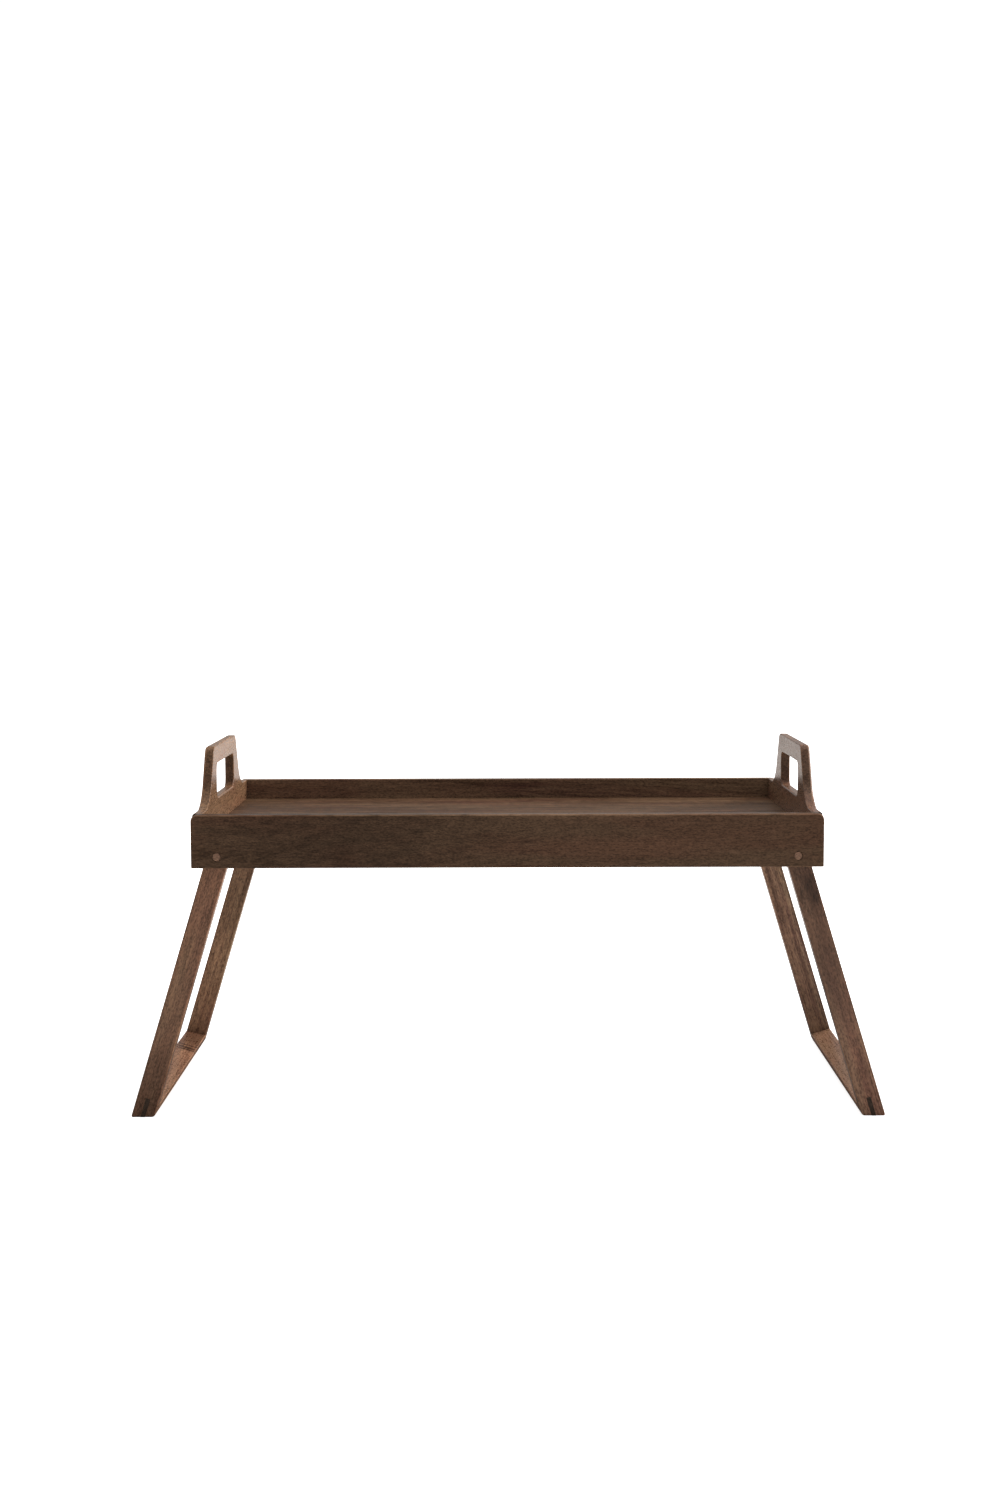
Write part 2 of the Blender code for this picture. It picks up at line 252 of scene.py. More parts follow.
def vectors(tree, operation, first, second=(0, 0, 0)):
    node = addNode(tree, "ShaderNodeVectorMath", operation=operation)
    feed(tree, node, n0=first, n1=second)
    return node.outputs["Value" if operation in ("LENGTH", "DOT_PRODUCT") else "Vector"]


def scaled(tree, vector, factor):
    node = addNode(tree, "ShaderNodeVectorMath", operation="SCALE")
    feed(tree, node, n0=vector, Scale=factor)
    return node.outputs[0]


def noise(tree, vector, stretch, detail=2.0, rough=0.5, warp=0.0, shift=None):
    if shift:                            # so that two patterns of one stretch differ
        vector = vectors(tree, "ADD", vector, shift)
    node = addNode(tree, "ShaderNodeTexNoise", noise_dimensions="3D")
    feed(tree, node, Vector=vectors(tree, "MULTIPLY", vector, stretch), Scale=1.0, Detail=detail,
         Roughness=rough, Distortion=warp)
    return node.outputs["Fac"]


def ramp(tree, value, low, high, smooth=True):         # 0 at low, 1 at high
    node = addNode(tree, "ShaderNodeMapRange", clamp=True,
                   interpolation_type="SMOOTHSTEP" if smooth else "LINEAR")
    feed(tree, node, Value=value, n1=low, n2=high)
    return node.outputs["Result"]


def wave(tree, turns, speed=1.0):        # between 0 and 1, once a turn at speed 1
    swing = calculate(tree, "SINE", times(tree, turns, speed * math.tau))
    return plus(tree, times(tree, swing, 0.5), 0.5)


def blendColours(tree, amount, first, second):
    node = addNode(tree, "ShaderNodeMix", data_type="RGBA", clamp_factor=True)
    feed(tree, node, n0=amount, n6=first, n7=second)
    return node.outputs[2]


def newGroup(name, inputs, outputs):     # inputs: pairs of name and start value, outputs: names of masks
    group = bpy.data.node_groups.new(name, "ShaderNodeTree")
    for label, value in inputs:
        kind = "NodeSocketFloat" if isinstance(value, float) else "NodeSocketVector"
        socket = group.interface.new_socket(name=label, in_out="INPUT", socket_type=kind)
        socket.default_value = value
    for label in outputs:
        group.interface.new_socket(name=label, in_out="OUTPUT", socket_type="NodeSocketFloat")
    entry = addNode(group, "NodeGroupInput")
    leave = addNode(group, "NodeGroupOutput")
    return group, entry.outputs, leave


def useGroup(tree, group, **sources):
    node = addNode(tree, "ShaderNodeGroup", node_tree=group)
    feed(tree, node, **sources)
    return node.outputs


def linear(colour):                      # from an 8-bit sRGB colour
    levels = [level / 255 for level in colour]
    return [level / 12.92 if level <= 0.04045 else ((level + 0.055) / 1.055) ** 2.4 for level in levels]


# walnut; board coordinates have X along the grain, Y across the face and Z through the board

origin = (0.0, 0.0, 0.0)


def yearRings(group, given, board):      # round the heart of the tree, with finer lines in places
    apart = addNode(group, "ShaderNodeSeparateXYZ")
    feed(group, apart, Vector=vectors(group, "ADD", board, given["Heart"]))
    swing = []
    for shift in (None, (5, 3, 1)):
        slow = noise(group, board, (3.5, 16, 16), shift=shift)
        swing.append(times(group, minus(group, slow, 0.5), given["Wander"]))
    across = addNode(group, "ShaderNodeCombineXYZ")
    feed(group, across, Y=plus(group, apart.outputs["Y"], swing[0]),
         Z=plus(group, apart.outputs["Z"], swing[1]))
    away = vectors(group, "LENGTH", across.outputs[0])
    turns = calculate(group, "DIVIDE", away, given["Ring Width"])
    turns = plus(group, turns, times(group, noise(group, board, (14, 120, 120)), 0.9))
    late = calculate(group, "POWER", wave(group, turns), 2.2)
    uneven = ramp(group, noise(group, board, (4, 40, 40), 1.0), 0.3, 0.7)
    fine = wave(group, turns, 3.1)
    fans = ramp(group, noise(group, board, (6, 26, 26), 1.0, shift=(6, 2, 8)), 0.46, 0.62)
    rings = plus(group, times(group, late, uneven), times(group, fine, fans))
    return times(group, rings, given["Ring Strength"])


def longStreaks(group, given, board):
    broad = ramp(group, noise(group, board, (5, 110, 110), 3.0, 0.55, 0.4), 0.42, 0.72)
    narrow = ramp(group, noise(group, board, (13, 420, 420), 2.0, 0.6), 0.45, 0.75)
    both = plus(group, times(group, broad, 0.65), times(group, narrow, 0.35))
    return times(group, both, given["Streak Strength"])


def shortFibres(group, given, board):
    flecks = noise(group, scaled(group, board, given["Fineness"]), (170, 430, 430), 2.0, 0.6)
    long = noise(group, board, (25, 700, 700), 2.0, 0.6, shift=(4, 5, 9))
    short = noise(group, board, (500, 1400, 1400), 2.0, 0.7, shift=(1, 4, 2))
    fibre = plus(group, times(group, flecks, 0.5), times(group, long, 0.3))
    fibre = plus(group, fibre, times(group, short, 0.2))
    return ramp(group, fibre, 0.4, 0.6, smooth=False)


def makeFigure():
    group, given, leave = newGroup(
        "walnutFigure",
        (("Board", origin), ("Heart", (0, 0.02, 0.05)), ("Ring Width", 0.005), ("Wander", 0.012),
         ("Ring Strength", 0.5), ("Streak Strength", 0.5), ("Fade", 0.0), ("Fineness", 1.0)),
        ("Dark", "Light", "Fibre", "Warm"))
    board = given["Board"]
    cloud = minus(group, noise(group, board, (6, 16, 16)), 0.5)
    along = addNode(group, "ShaderNodeSeparateXYZ")
    feed(group, along, Vector=board)
    dark = plus(group, yearRings(group, given, board), longStreaks(group, given, board))
    dark = minus(group, dark, times(group, cloud, 0.6))
    dark = minus(group, dark, times(group, along.outputs["X"], given["Fade"]), clamp=True)
    light = ramp(group, noise(group, board, (7, 200, 200), shift=(2, 7, 4)), 0.56, 0.74)
    warm = ramp(group, noise(group, board, (5, 28, 28), 2.0, 0.5, 0.5, shift=(3, 1, 6)), 0.38, 0.66)
    feed(group, leave, Dark=dark, Light=light, Fibre=shortFibres(group, given, board), Warm=warm)
    return group


def makePores():                         # open vessels: dashes on the long faces, dots on the end grain
    group, given, leave = newGroup("walnutPores", (("Board", origin), ("Amount", 0.5)), ("Pores", "Height"))
    board = given["Board"]
    long = noise(group, board, (120, 2300, 2300), 1.0, 0.4)
    crowd = ramp(group, noise(group, board, (9, 150, 150), 1.0), 0.3, 0.75)
    edge = minus(group, 0.74, times(group, given["Amount"], times(group, crowd, 0.16)))
    pores = ramp(group, long, edge, plus(group, edge, 0.07))
    fuzz = noise(group, board, (300, 2600, 2600), 2.0, 0.7)
    feed(group, leave, Pores=pores, Height=minus(group, times(group, fuzz, 0.35), pores))
    return group


def makeEndGrain():                      # 1 where the surface looks along the grain
    group, given, leave = newGroup("endGrain", (("Normal", origin), ("Grain", (1, 0, 0))), ("End",))
    facing = calculate(group, "ABSOLUTE", vectors(group, "DOT_PRODUCT", given["Normal"], given["Grain"]))
    feed(group, leave, End=ramp(group, facing, 0.35, 0.95))
    return group


def makeEdgeWearAndHighlight():                      # lighter rounded edges of the broad faces: partly where the finish thins, partly a painted highlight along the arrises
    group, given, leave = newGroup(
        "edgeWearAndHighlight", (("Board", origin), ("Normal", origin), ("Face", (0, 0, 1))), ("Wear",))
    facing = calculate(group, "ABSOLUTE", vectors(group, "DOT_PRODUCT", given["Normal"], given["Face"]))
    turned = times(group, ramp(group, facing, 0.08, 0.4), ramp(group, facing, 0.98, 0.75))
    patchy = ramp(group, noise(group, given["Board"], (45, 45, 45), 3.0, 0.6), 0.15, 0.6)
    feed(group, leave, Wear=times(group, turned, patchy))
    return group


def makePatch():                         # one soft lighter or darker cloud at a given place on the board: wood figure such as a knot, and on some boards a painted highlight or reflection
    group, given, leave = newGroup(
        "figureAndPaintedLightPatch", (("Board", origin), ("Place", origin), ("Size", (0.02, 0.01, 0.02))), ("Patch",))
    away = vectors(group, "DIVIDE", vectors(group, "SUBTRACT", given["Board"], given["Place"]), given["Size"])
    ragged = times(group, noise(group, given["Board"], (60, 160, 160)), 0.7)
    apart = plus(group, vectors(group, "LENGTH", away), ragged)
    feed(group, leave, Patch=ramp(group, apart, 1.35, 0.6))
    return group


figureGroup = makeFigure()
poreGroup = makePores()
endGroup = makeEndGrain()
wearAndHighlightGroup = makeEdgeWearAndHighlight()
patchGroup = makePatch()
print("shader groups made")

stain = {                                # how the darker and lighter figure differs from a board's own tone
    "golden": (1.03, 1.07, 1.03),
    "russet": (0.98, 0.90, 0.87),
    "dark": (0.52, 0.48, 0.42),
    "plum": (0.50, 0.40, 0.44),
    "light": (1.35, 1.38, 1.40),
}
walnutFinish = {                         # what most boards share; a board's own look says what differs
    "heart": (0, 0.02, 0.04),            # from the board's middle to the middle of the rings
    "ringWidth": 0.008,
    "wander": 0.03,                      # how far the rings swing from round
    "rings": 0.3,
    "streaks": 0.4,
    "fade": 0.0,                         # how much lighter a metre along the grain
    "lights": 0.3,
    "fineness": 1.25,
    "fibre": 0.9,
    "pores": 0.8,
    "poreDark": 0.5,
    "relief": 0.35,
    "wear": 0.35,
    "endDark": 0.3,
    "rough": 0.30,
    "gloss": 0.16,
    "dip": 0,                            # degrees that the grain runs off the board's length
    "shift": origin,                     # which stretch of the tree the board is cut from
    "patches": (),                       # place, size and how much lighter or darker; a few are painted highlights or reflections
}


def stained(tone, name):
    return [level * factor for level, factor in zip(linear(tone), stain[name])] + [1]


def darkened(tree, shade, mask, amount):
    return times(tree, shade, minus(tree, 1.0, times(tree, mask, amount)))


def walnut(name, middle, axes, ownLook):
    # axes are the board's own directions as columns: along the grain, across the face, through the board
    look = {**walnutFinish, **ownLook}
    material = bpy.data.materials.new(name)
    material.use_nodes = True
    tree = material.node_tree
    coordinates = addNode(tree, "ShaderNodeTexCoord")
    mapping = addNode(tree, "ShaderNodeMapping", vector_type="TEXTURE")
    turned = axes @ Matrix.Rotation(math.radians(look["dip"]), 3, "Y")
    feed(tree, mapping, Vector=coordinates.outputs["Object"], Location=middle, Rotation=turned.to_euler())
    board = vectors(tree, "ADD", mapping.outputs[0], look["shift"])
    figure = useGroup(tree, figureGroup, Board=board, Heart=look["heart"], Ring_Width=look["ringWidth"],
                      Wander=look["wander"], Ring_Strength=look["rings"], Streak_Strength=look["streaks"],
                      Fade=look["fade"], Fineness=look["fineness"])
    pores = useGroup(tree, poreGroup, Board=board, Amount=look["pores"])
    normal = coordinates.outputs["Normal"]
    end = useGroup(tree, endGroup, Normal=normal, Grain=axes.col[0])["End"]
    wear = useGroup(tree, wearAndHighlightGroup, Board=board, Normal=normal, Face=axes.col[2])["Wear"]

    tone = look["tone"]
    colour = blendColours(tree, figure["Warm"], stained(tone, "golden"), stained(tone, "russet"))
    darker = blendColours(tree, figure["Warm"], stained(tone, "dark"), stained(tone, "plum"))
    colour = blendColours(tree, figure["Dark"], colour, darker)
    colour = blendColours(tree, times(tree, figure["Light"], look["lights"]), colour, stained(tone, "light"))
    shade = plus(tree, times(tree, figure["Fibre"], look["fibre"]), 1 - look["fibre"] / 2)
    shade = darkened(tree, shade, pores["Pores"], look["poreDark"])
    shade = darkened(tree, shade, end, look["endDark"])
    # patches: wood figure, and on some boards painted highlights or reflections
    for place, size, strength in look["patches"]:
        patch = useGroup(tree, patchGroup, Board=mapping.outputs[0], Place=place, Size=size)["Patch"]
        shade = times(tree, shade, plus(tree, 1.0, times(tree, patch, strength)))
    # lighter rounded edges: partly where the finish thins, partly a painted highlight along the arrises
    shade = plus(tree, shade, times(tree, wear, look["wear"]))

    rough = plus(tree, times(tree, figure["Fibre"], 0.10), look["rough"] - 0.05)
    rough = plus(tree, rough, times(tree, pores["Pores"], 0.2))
    rough = plus(tree, rough, times(tree, end, 0.12), clamp=True)
    bump = addNode(tree, "ShaderNodeBump")
    feed(tree, bump, Height=pores["Height"], Strength=look["relief"], Distance=0.00012)
    feed(tree, tree.nodes["Principled BSDF"], Base_Color=scaled(tree, colour, shade), Roughness=rough,
         Normal=bump.outputs[0], Specular_IOR_Level=look["gloss"])
    return material


lengthwiseFlat = Matrix.Identity(3)                                  # grain along X, face up
lengthwiseUpright = Matrix(((1, 0, 0), (0, 0, -1), (0, 1, 0)))       # grain along X, face to the front
crosswiseUpright = Matrix(((0, 0, 1), (1, 0, 0), (0, 1, 0)))         # grain along Y, face to the side
crosswiseFlat = Matrix(((0, 1, 0), (1, 0, 0), (0, 0, -1)))           # grain along Y, face down


# long rails

rails = {
    "topCorner": 0.006,
    "bottomCorner": 0.0012,
    "outerRound": 0.003,
    "fineRound": 0.0009,
    "groovePlay": 0.0001,
    "borePlay": 0.0003,
    "looks": {
        "front": {
            "tone": (78, 59, 46), "heart": (0, 0.05, 0.03), "dip": -8, "shift": (0.4, 0, 0),
            "wander": 0.015, "rings": 0.5, "streaks": 0.6, "fade": 1.5, "fineness": 2.1, "fibre": 0.8,
            "wear": 1.7, "endDark": 0.2, "rough": 0.32, "gloss": 0.06,
            "patches": (((-0.24, 0, 0), (0.27, 0.1, 0.06), -0.55),
                        ((0.12, -0.006, 0), (0.16, 0.012, 0.06), 0.2),
                        # the last patch is a painted highlight: a lighter strip along the top of the rail,
                        # where the rounded rim catches the light
                        ((0.14, 0.026, 0), (0.25, 0.006, 0.03), 0.6)),
        },
        "back": {
            "tone": (119, 94, 75), "heart": (0, 0.04, 0.06), "dip": 3, "shift": (1.7, 0, 0),
            "ringWidth": 0.010, "rings": 0.5, "streaks": 0.6, "fineness": 2.0, "fibre": 0.8,
            "wear": 0.9, "endDark": 0.2, "rough": 0.32,
        },
    },
}


def makeRail():
    end, outside, inside = railHigh.x, railHigh.y, railLow.y
    play = rails["groovePlay"]
    rail = addBlock("railBack", railLow, railHigh)
    roundCorner(rail, lambda mid, way: abs(way.y) > 0.9 and mid.z > railMiddleZ, rails["topCorner"], 8)
    roundCorner(rail, lambda mid, way: abs(way.y) > 0.9 and mid.z < railLow.z + touching,
                rails["bottomCorner"], 3)
    groove = addBlock("groove", (-panelHigh.x - play, 0, panelLow.z - play),
                      (panelHigh.x + play, panelHigh.y + play, panelTongueTop + play))
    cutOut(rail, groove)
    for side in (-1, 1):
        cutOut(rail, addBar("bore", dowelRadius + rails["borePlay"], inside - overshoot, outside + overshoot,
                            side * pivot.x, pivot.z))

    shoulder = railHigh.z - rails["topCorner"]
    fine = rails["fineRound"] / rails["outerRound"]

    def outline(mid):                    # the edges round the broad faces, not those of groove and bores
        return (abs(mid.x) > end - rails["topCorner"] or mid.z < railLow.z + touching
                or mid.z > railHigh.z - touching)

    def share(mid):                      # a small round up to the shoulder, growing to the full one on top
        return fine + (1 - fine) * min(max((mid.z - shoulder) / (railHigh.z - shoulder), 0), 1)

    easeEdges(rail, rails["outerRound"], (
        (lambda mid, way: abs(way.y) > 0.5 or not outline(mid), 0),
        (lambda mid, way: mid.y > outside - touching, share),
        (lambda mid, way: mid.y < inside + touching, fine)))
    return rail


railBack = makeRail()
railFront = copyOf(railBack, "railFront")
mirrorOver(railFront, 1)
for rail, end, name in ((railFront, -1, "front"), (railBack, 1, "back")):
    middle = (0, end * (railLow.y + railHigh.y) / 2, railMiddleZ)
    finishPiece(rail, "tray", name + "_rail",
                walnut(name + "RailWalnut", middle, lengthwiseUpright, rails["looks"][name]))
print("rails made")


# end boards with their handles

ends = {
    "handleTopHalf": 0.080,
    "sideRun": 0.034,
    "topCorner": 0.011,
    "flareRadius": 0.045,
    "holeHalf": 0.0625,
    "holeLow": 0.004,
    "holeHigh": 0.0385,
    "holeCorner": 0.009,
    "holeRound": 0.0016,
    "outerRound": 0.003,
    "fineRound": 0.0009,
    "seamRound": 0.0003,
    "seam": 0.0001,
    "looks": {
        "left": {
            "tone": (128, 95, 71), "heart": (0, 0.03, 0.05), "dip": 4, "shift": (0.9, 0, 0),
            "ringWidth": 0.010, "wander": 0.04, "rings": 0.35, "streaks": 0.45, "lights": 0.4,
            "endDark": 0.52,
            "patches": (((0.152, 0.01, 0), (0.02, 0.03, 0.02), 0.3),
                        # the second patch is a painted sheen: the upper part of the handle lighter, where it
                        # mirrors the bright studio
                        ((0, 0.08, 0), (0.2, 0.03, 0.03), 0.3)),
        },
        "right": {
            "tone": (120, 90, 72), "heart": (0, 0.04, 0.05), "dip": -4, "shift": (2.9, 0, 0),
            "ringWidth": 0.010, "wander": 0.04, "rings": 0.35, "streaks": 0.45, "lights": 0.4,
            "endDark": 0.5,
        },
    },
}


def bevelFor(radius, turn):              # how far back from a corner an arc of this radius starts
    return radius * math.tan(turn / 2)


def makeEndBoard():
    inside, outside, rim, top = boardLow.x, railHigh.x, railHigh.z, boardHigh.z
    half = railLow.y - ends["seam"]
    foot = ends["handleTopHalf"] + ends["sideRun"]
    turn = math.atan2(top - rim, ends["sideRun"])      # how steeply the handle rises from the rim
    holeLow, holeHigh = rim + ends["holeLow"], rim + ends["holeHigh"]
    play = rails["groovePlay"]

    board = addBlock("boardRight", (inside, -half, railLow.z), (outside, half, rim))
    for end in (-1, 1):                  # lines where the handle will rise from the rim
        edit(board, "VERT")
        bpy.ops.mesh.select_all(action="SELECT")
        bpy.ops.mesh.bisect(plane_co=(0, end * foot, rim), plane_no=(0, 1, 0))
        bpy.ops.object.mode_set(mode="OBJECT")
    pickFaces(board, lambda mid, normal: normal.z > 0.9 and abs(mid.y) < foot)
    bpy.ops.mesh.extrude_region_move(TRANSFORM_OT_translate={"value": (0, 0, top - rim)})
    bpy.ops.transform.resize(value=(1, ends["handleTopHalf"] / foot, 1))
    bpy.ops.object.mode_set(mode="OBJECT")

    def atFoot(mid):
        return abs(mid.z - rim) < touching and abs(abs(mid.y) - foot) < closeBy

    roundCorner(board, lambda mid, way: abs(way.x) > 0.9 and mid.z > top - touching,
                bevelFor(ends["topCorner"], turn), 10)
    roundCorner(board, lambda mid, way: abs(way.x) > 0.9 and atFoot(mid),
                bevelFor(ends["flareRadius"], turn), 14)
    hole = addBlock("hole", (inside - overshoot, -ends["holeHalf"], holeLow),
                    (outside + overshoot, ends["holeHalf"], holeHigh))
    roundCorner(hole, lambda mid, way: abs(way.x) > 0.9, ends["holeCorner"], 10)
    cutOut(board, hole)

    def edgeOfHole(mid):
        return abs(mid.y) < ends["holeHalf"] + closeBy and holeLow - closeBy < mid.z < holeHigh + closeBy

    fine = ends["fineRound"] / ends["outerRound"]
    easeEdges(board, ends["outerRound"], (
        (lambda mid, way: abs(way.x) > 0.5, 0),
        (lambda mid, way: edgeOfHole(mid), ends["holeRound"] / ends["outerRound"]),
        (lambda mid, way: abs(mid.y) > half - closeBy, ends["seamRound"] / ends["outerRound"]),
        (lambda mid, way: mid.x > outside - touching and mid.z > rim - touching, 1),
        (lambda mid, way: mid.z < railLow.z + touching or mid.z > rim - touching, fine)))
    cutOut(board, addBlock("groove", (0, -panelHigh.y, panelLow.z - play),
                           (panelHigh.x + play, panelHigh.y, panelTongueTop + play)))
    return board


boardRight = makeEndBoard()
boardLeft = copyOf(boardRight, "boardLeft")
mirrorOver(boardLeft, 0)
for board, side, name in ((boardLeft, -1, "left"), (boardRight, 1, "right")):
    middle = (side * (boardLow.x + boardHigh.x) / 2, 0, railMiddleZ)
    finishPiece(board, "tray", name + "_end_board",
                walnut(name + "EndWalnut", middle, crosswiseUpright, ends["looks"][name]))
print("end boards made")


# floor panel

panel = {
    "seam": 0.00012,
    "edge": 0.0003,
    "look": {
        "tone": (103, 78, 60), "heart": (0, 0.03, 0.06), "dip": 5, "shift": (3.3, 0.2, 0),
        "ringWidth": 0.015, "wander": 0.07, "rings": 0.9, "streaks": 0.6, "lights": 0.5, "fineness": 0.85,
        "pores": 0.9, "endDark": 0.2, "rough": 0.42, "gloss": 0.03,
        "patches": (((-0.2, 0.03, 0), (0.12, 0.01, 0.02), 0.5),
                    # the second patch is a painted highlight: a thin lighter line along the back edge, where
                    # the floor meets the back rail
                    ((0, 0.163, 0), (0.9, 0.012, 0.02), 0.12)),
    },
}


def makePanel():
    tongue = panelHigh.y - railLow.y + panel["seam"]
    floorBoard = addBlock("floorBoard", panelLow, (panelHigh.x, panelHigh.y, panelTongueTop))
    pickFaces(floorBoard, lambda mid, normal: normal.z > 0.9)
    bpy.ops.mesh.inset(thickness=tongue, depth=0)
    bpy.ops.mesh.extrude_region_move(TRANSFORM_OT_translate={"value": (0, 0, panelHigh.z - panelTongueTop)})
    bpy.ops.object.mode_set(mode="OBJECT")
    easeEdges(floorBoard, panel["edge"], ((lambda mid, way: mid.z > panelHigh.z - touching, 1),), 2)
    return floorBoard


finishPiece(makePanel(), "tray", "floor_panel",
            walnut("floorPanelWalnut", (panelLow + panelHigh) / 2, lengthwiseFlat, panel["look"]))
print("floor panel made")


# leg frames, modelled upright about the pivot: the leg runs down -Z and +X points outwards

legs = {
    "width": 0.0218,
    "crosspieceDepth": 0.0129,
    "topRoundShare": 0.9995,             # of half the width, so that the two arcs just don't meet
    "outerCorner": 0.002,
    "innerCorner": 0.0028,
    "fineRound": 0.0009,
    "mitreSeam": 0.00008,
    "borePlay": 0.00012,
    "spare": 0.002,                      # sawn off again where the frame stands on the ground
    "looks": {
        "left_front": {
            "tone": (123, 93, 73), "heart": (0, 0.02, 0.05), "shift": (4.1, 0, 0),
            "ringWidth": 0.009, "rings": 0.25, "fineness": 2.0,
            "patches": (((0.115, 0, 0), (0.09, 0.05, 0.06), -0.3),
                        # the second patch is a painted reflection: a much lighter strip down the leg's inner
                        # side, standing in for the bright floor mirrored there
                        ((0, -0.0116, 0), (0.8, 0.0025, 0.06), 1.4)),
        },
        "left_back": {
            "tone": (134, 104, 81), "shift": (5.3, 0, 0),
            "ringWidth": 0.0032, "wander": 0.006, "rings": 0.7, "streaks": 0.8,
            "fineness": 1.6, "pores": 0.9,
            "patches": (((0.06, 0, 0), (0.1, 0.05, 0.06), 0.5),),
        },
        "right_front": {
            "tone": (112, 84, 68), "heart": (0, 0.015, 0.03), "shift": (6.7, 0, 0),
            "ringWidth": 0.007, "rings": 0.4, "streaks": 0.5, "fineness": 1.7,
            "patches": (((-0.118, 0, 0), (0.05, 0.04, 0.06), -0.35),
                        ((-0.092, 0.003, 0), (0.024, 0.013, 0.06), -0.5),
                        ((-0.02, 0, 0), (0.09, 0.05, 0.06), -0.25),
                        ((0.1, 0, 0), (0.09, 0.05, 0.06), 0.4)),
        },
        "right_back": {
            "tone": (146, 117, 95), "heart": (0, 0.02, 0.03), "shift": (7.9, 0, 0),
            "ringWidth": 0.0038, "wander": 0.008, "rings": 0.9, "streaks": 0.9, "lights": 0.4,
            "fineness": 1.6, "pores": 0.9,
            "patches": (((0.09, 0, 0), (0.07, 0.05, 0.06), -0.25),),
        },
    },
    "crossLooks": {
        "left": {
            "tone": (173, 129, 100), "shift": (8.2, 0, 0), "fineness": 1.5, "wear": 1.1, "gloss": 0.06,
            "patches": (((-0.13, 0, 0), (0.08, 0.05, 0.06), -0.6),
                        ((-0.070, 0, -0.013), (0.004, 0.03, 0.012), -0.7),
                        ((-0.078, 0, -0.013), (0.005, 0.02, 0.012), -0.8),
                        ((-0.089, 0, -0.013), (0.004, 0.03, 0.012), -0.7)),
        },
        "right": {
            "tone": (145, 114, 91), "shift": (9.4, 0, 0), "fineness": 1.5, "wear": 0.8, "gloss": 0.06,
        },
    },
}
keys = {
    "length": 0.019,
    "thickness": 0.0042,
    "edge": 0.0002,
    "play": 0.00008,
    "slotPast": 0.003,                   # how far the slot's cutter stands out of the corner
    "middleIn": 0.006,                   # middle of the grain, in from the corner
    "look": {
        "tone": (58, 45, 37), "shift": (10.5, 0, 0), "ringWidth": 0.004, "wander": 0.01, "rings": 0.4,
        "streaks": 0.5, "endDark": 0.1, "rough": 0.32,
    },
}
downhill = Vector((-math.sin(legLean), 0, -math.cos(legLean)))   # square to the ground, in leg coordinates
groundPoint = Vector((0, 0, -legLength))
legHalf = legs["width"] / 2
legOut, legIn = legHigh.y, legLow.y
footDrop = legHalf * math.tan(legLean)
crossTop = legs["crosspieceDepth"] - legLength
stockLow = -legLength - footDrop - legs["spare"]
mitrePoint = Vector((0, legIn, crossTop))
mitreNormal = Vector((0, -(legs["crosspieceDepth"] + footDrop), -(legOut - legIn))).normalized()
mitreHalf = mitreNormal * legs["mitreSeam"] / 2


def makeKey(name, grow=0.0, past=0.0):   # three-cornered key set into the outer corner of the frame
    low, out = -legLength - footDrop - past, legOut + past
    reach = keys["length"] + footDrop + grow * math.sqrt(2) + 2 * past
    half = keys["thickness"] / 2 + grow
    key = addBlock(name, (-half, out - reach - past, low), (half, out, low + reach + past))
    cutFlat(key, (0, out - reach, low), (0, -1, 1))
    return key


def makeLeg():                           # the back leg of the right frame
    bar = addBlock("firstLeg", (-legHalf, legIn, stockLow), (legHalf, legOut, legHalf))
    roundCorner(bar, lambda mid, way: abs(way.y) > 0.9 and mid.z > 0, legHalf * legs["topRoundShare"], 16)
    cutFlat(bar, groundPoint, downhill)

    def atGround(mid, way):
        return abs(way.y) > 0.9 and mid.z < -legLength / 2

    roundCorner(bar, lambda mid, way: atGround(mid, way) and mid.x < 0, legs["innerCorner"], 5)
    roundCorner(bar, lambda mid, way: atGround(mid, way) and mid.x > 0, legs["outerCorner"], 4)
    easeEdges(bar, legs["fineRound"], ((lambda mid, way: abs(way.y) < 0.5, 1),), 3)
    cutFlat(bar, mitrePoint - mitreHalf, mitreNormal)
    cutOut(bar, addBar("bore", dowelRadius + legs["borePlay"], legIn - overshoot, legOut + overshoot, 0, 0))
    cutOut(bar, makeKey("slotForKey", keys["play"], keys["slotPast"]))
    return bar


def makeCrosspiece():
    inner = legs["innerCorner"]
    bar = addBlock("firstCross", (-legHalf, -legOut, stockLow), (legHalf, legOut, crossTop))
    cutFlat(bar, groundPoint, downhill)
    easeEdges(bar, inner, (
        (lambda mid, way: abs(way.y) < 0.9, 0),
        (lambda mid, way: mid.z < crossTop - legs["crosspieceDepth"] / 2 and mid.x < 0, 1),
        (lambda mid, way: mid.z < -legLength and mid.x > 0, legs["outerCorner"] / inner),
        (lambda mid, way: True, legs["fineRound"] / inner)), 5)
    for end in (-1, 1):
        facing = Vector((1, end, 1))
        cutFlat(bar, (mitrePoint + mitreHalf) * facing, -mitreNormal * facing)
        slotForKey = makeKey("slotForKey", keys["play"], keys["slotPast"])
        if end < 0:
            mirrorOver(slotForKey, 1)
        cutOut(bar, slotForKey)
    return bar


def openFrame(side):                     # from upright leg coordinates to the open frame
    turned = Matrix.Rotation(math.pi if side < 0 else 0, 4, "Z") @ Matrix.Rotation(-legLean, 4, "Y")
    return Matrix.Translation((side * pivot.x, 0, pivot.z)) @ turned


def standUp(piece, side):
    takeUp(piece)
    piece.rotation_euler = (0, -legLean, math.pi if side < 0 else 0)
    piece.location = (side * pivot.x, 0, pivot.z)
    applyPlace(piece)


def boardAxes(side, along, across, through):
    return openFrame(side).to_3x3() @ Matrix((along, across, through)).transposed()


